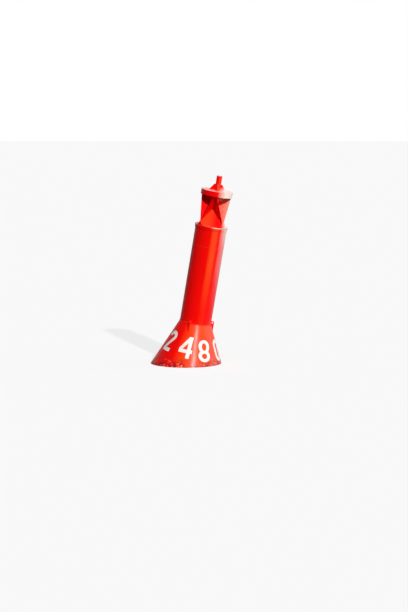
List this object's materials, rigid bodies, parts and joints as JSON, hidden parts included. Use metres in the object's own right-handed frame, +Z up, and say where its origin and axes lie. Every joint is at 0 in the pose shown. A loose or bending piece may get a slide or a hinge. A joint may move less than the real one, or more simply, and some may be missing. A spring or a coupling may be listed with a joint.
{
  "type": "pillar navigation buoy with conical hull",
  "caption": "Steel pillar buoy: conical hull, tall pipe column with built-in radar reflector and top post, ballasted tail, mooring shackle and swivel.",
  "frame": {"origin": "on the buoy's axis at its waterline", "axes": "+Z up along the column; +X and +Y towards upper corners of the radar reflector; the shackle's pin lies along X"},
  "size_m": [1.28, 1.28, 6.0725],
  "materials": {
    "red_paint": "gloss",
    "bottom_coating": "matte",
    "cast_ballast": "rough",
    "forged_steel": "galvanised"
  },
  "bodies": {
    "buoy": {"lower_pipe": "red_paint", "upper_pipe": "red_paint", "base_skirt": "red_paint", "reflector_base": "red_paint", "lower_pyramid": "red_paint", "upper_pyramid": "red_paint", "fin_1": "red_paint", "fin_2": "red_paint", "fin_3": "red_paint", "fin_4": "red_paint", "fin_5": "red_paint", "fin_6": "red_paint", "fin_7": "red_paint", "fin_8": "red_paint", "top_skirt": "red_paint", "reflector_top": "red_paint", "top_post": "red_paint", "post_gussets": "red_paint", "upper_cone": "red_paint", "lifting_lugs": "red_paint", "belt": "red_paint", "lower_cone": "bottom_coating", "hull_flange": "bottom_coating", "tail_flange": "bottom_coating", "tail_tube": "bottom_coating", "tail_gussets": "bottom_coating", "ballast_top_ring": "bottom_coating", "ballast_1": "cast_ballast", "ballast_2": "cast_ballast", "ballast_3": "cast_ballast", "ballast_4": "cast_ballast", "ballast_bottom_ring": "bottom_coating", "bottom_plate": "bottom_coating", "mooring_eye": "bottom_coating", "eye_brackets": "bottom_coating"},
    "shackle": {"shackle_bow": "forged_steel", "shackle_pin": "forged_steel"},
    "swivel_upper": {"swivel_head": "forged_steel"},
    "swivel_lower": {"swivel_eye": "forged_steel", "swivel_nut": "forged_steel"}
  },
  "joints": [
    {"name": "shackle_swing", "type": "hinge", "parent": "buoy", "child": "shackle", "pos_m": [0, 0, -2.59689], "axis": [1, 0, 0], "range_deg": [-80, 80]},
    {"name": "swivel_swing", "type": "hinge", "parent": "shackle", "child": "swivel_upper", "pos_m": [0, 0, -2.75489], "axis": [1, 0, 0], "range_deg": [-60, 60]},
    {"name": "swivel_turn", "type": "hinge", "parent": "swivel_upper", "child": "swivel_lower", "pos_m": [0, 0, -2.85119], "axis": [0, 0, 1], "continuous": true}
  ]
}
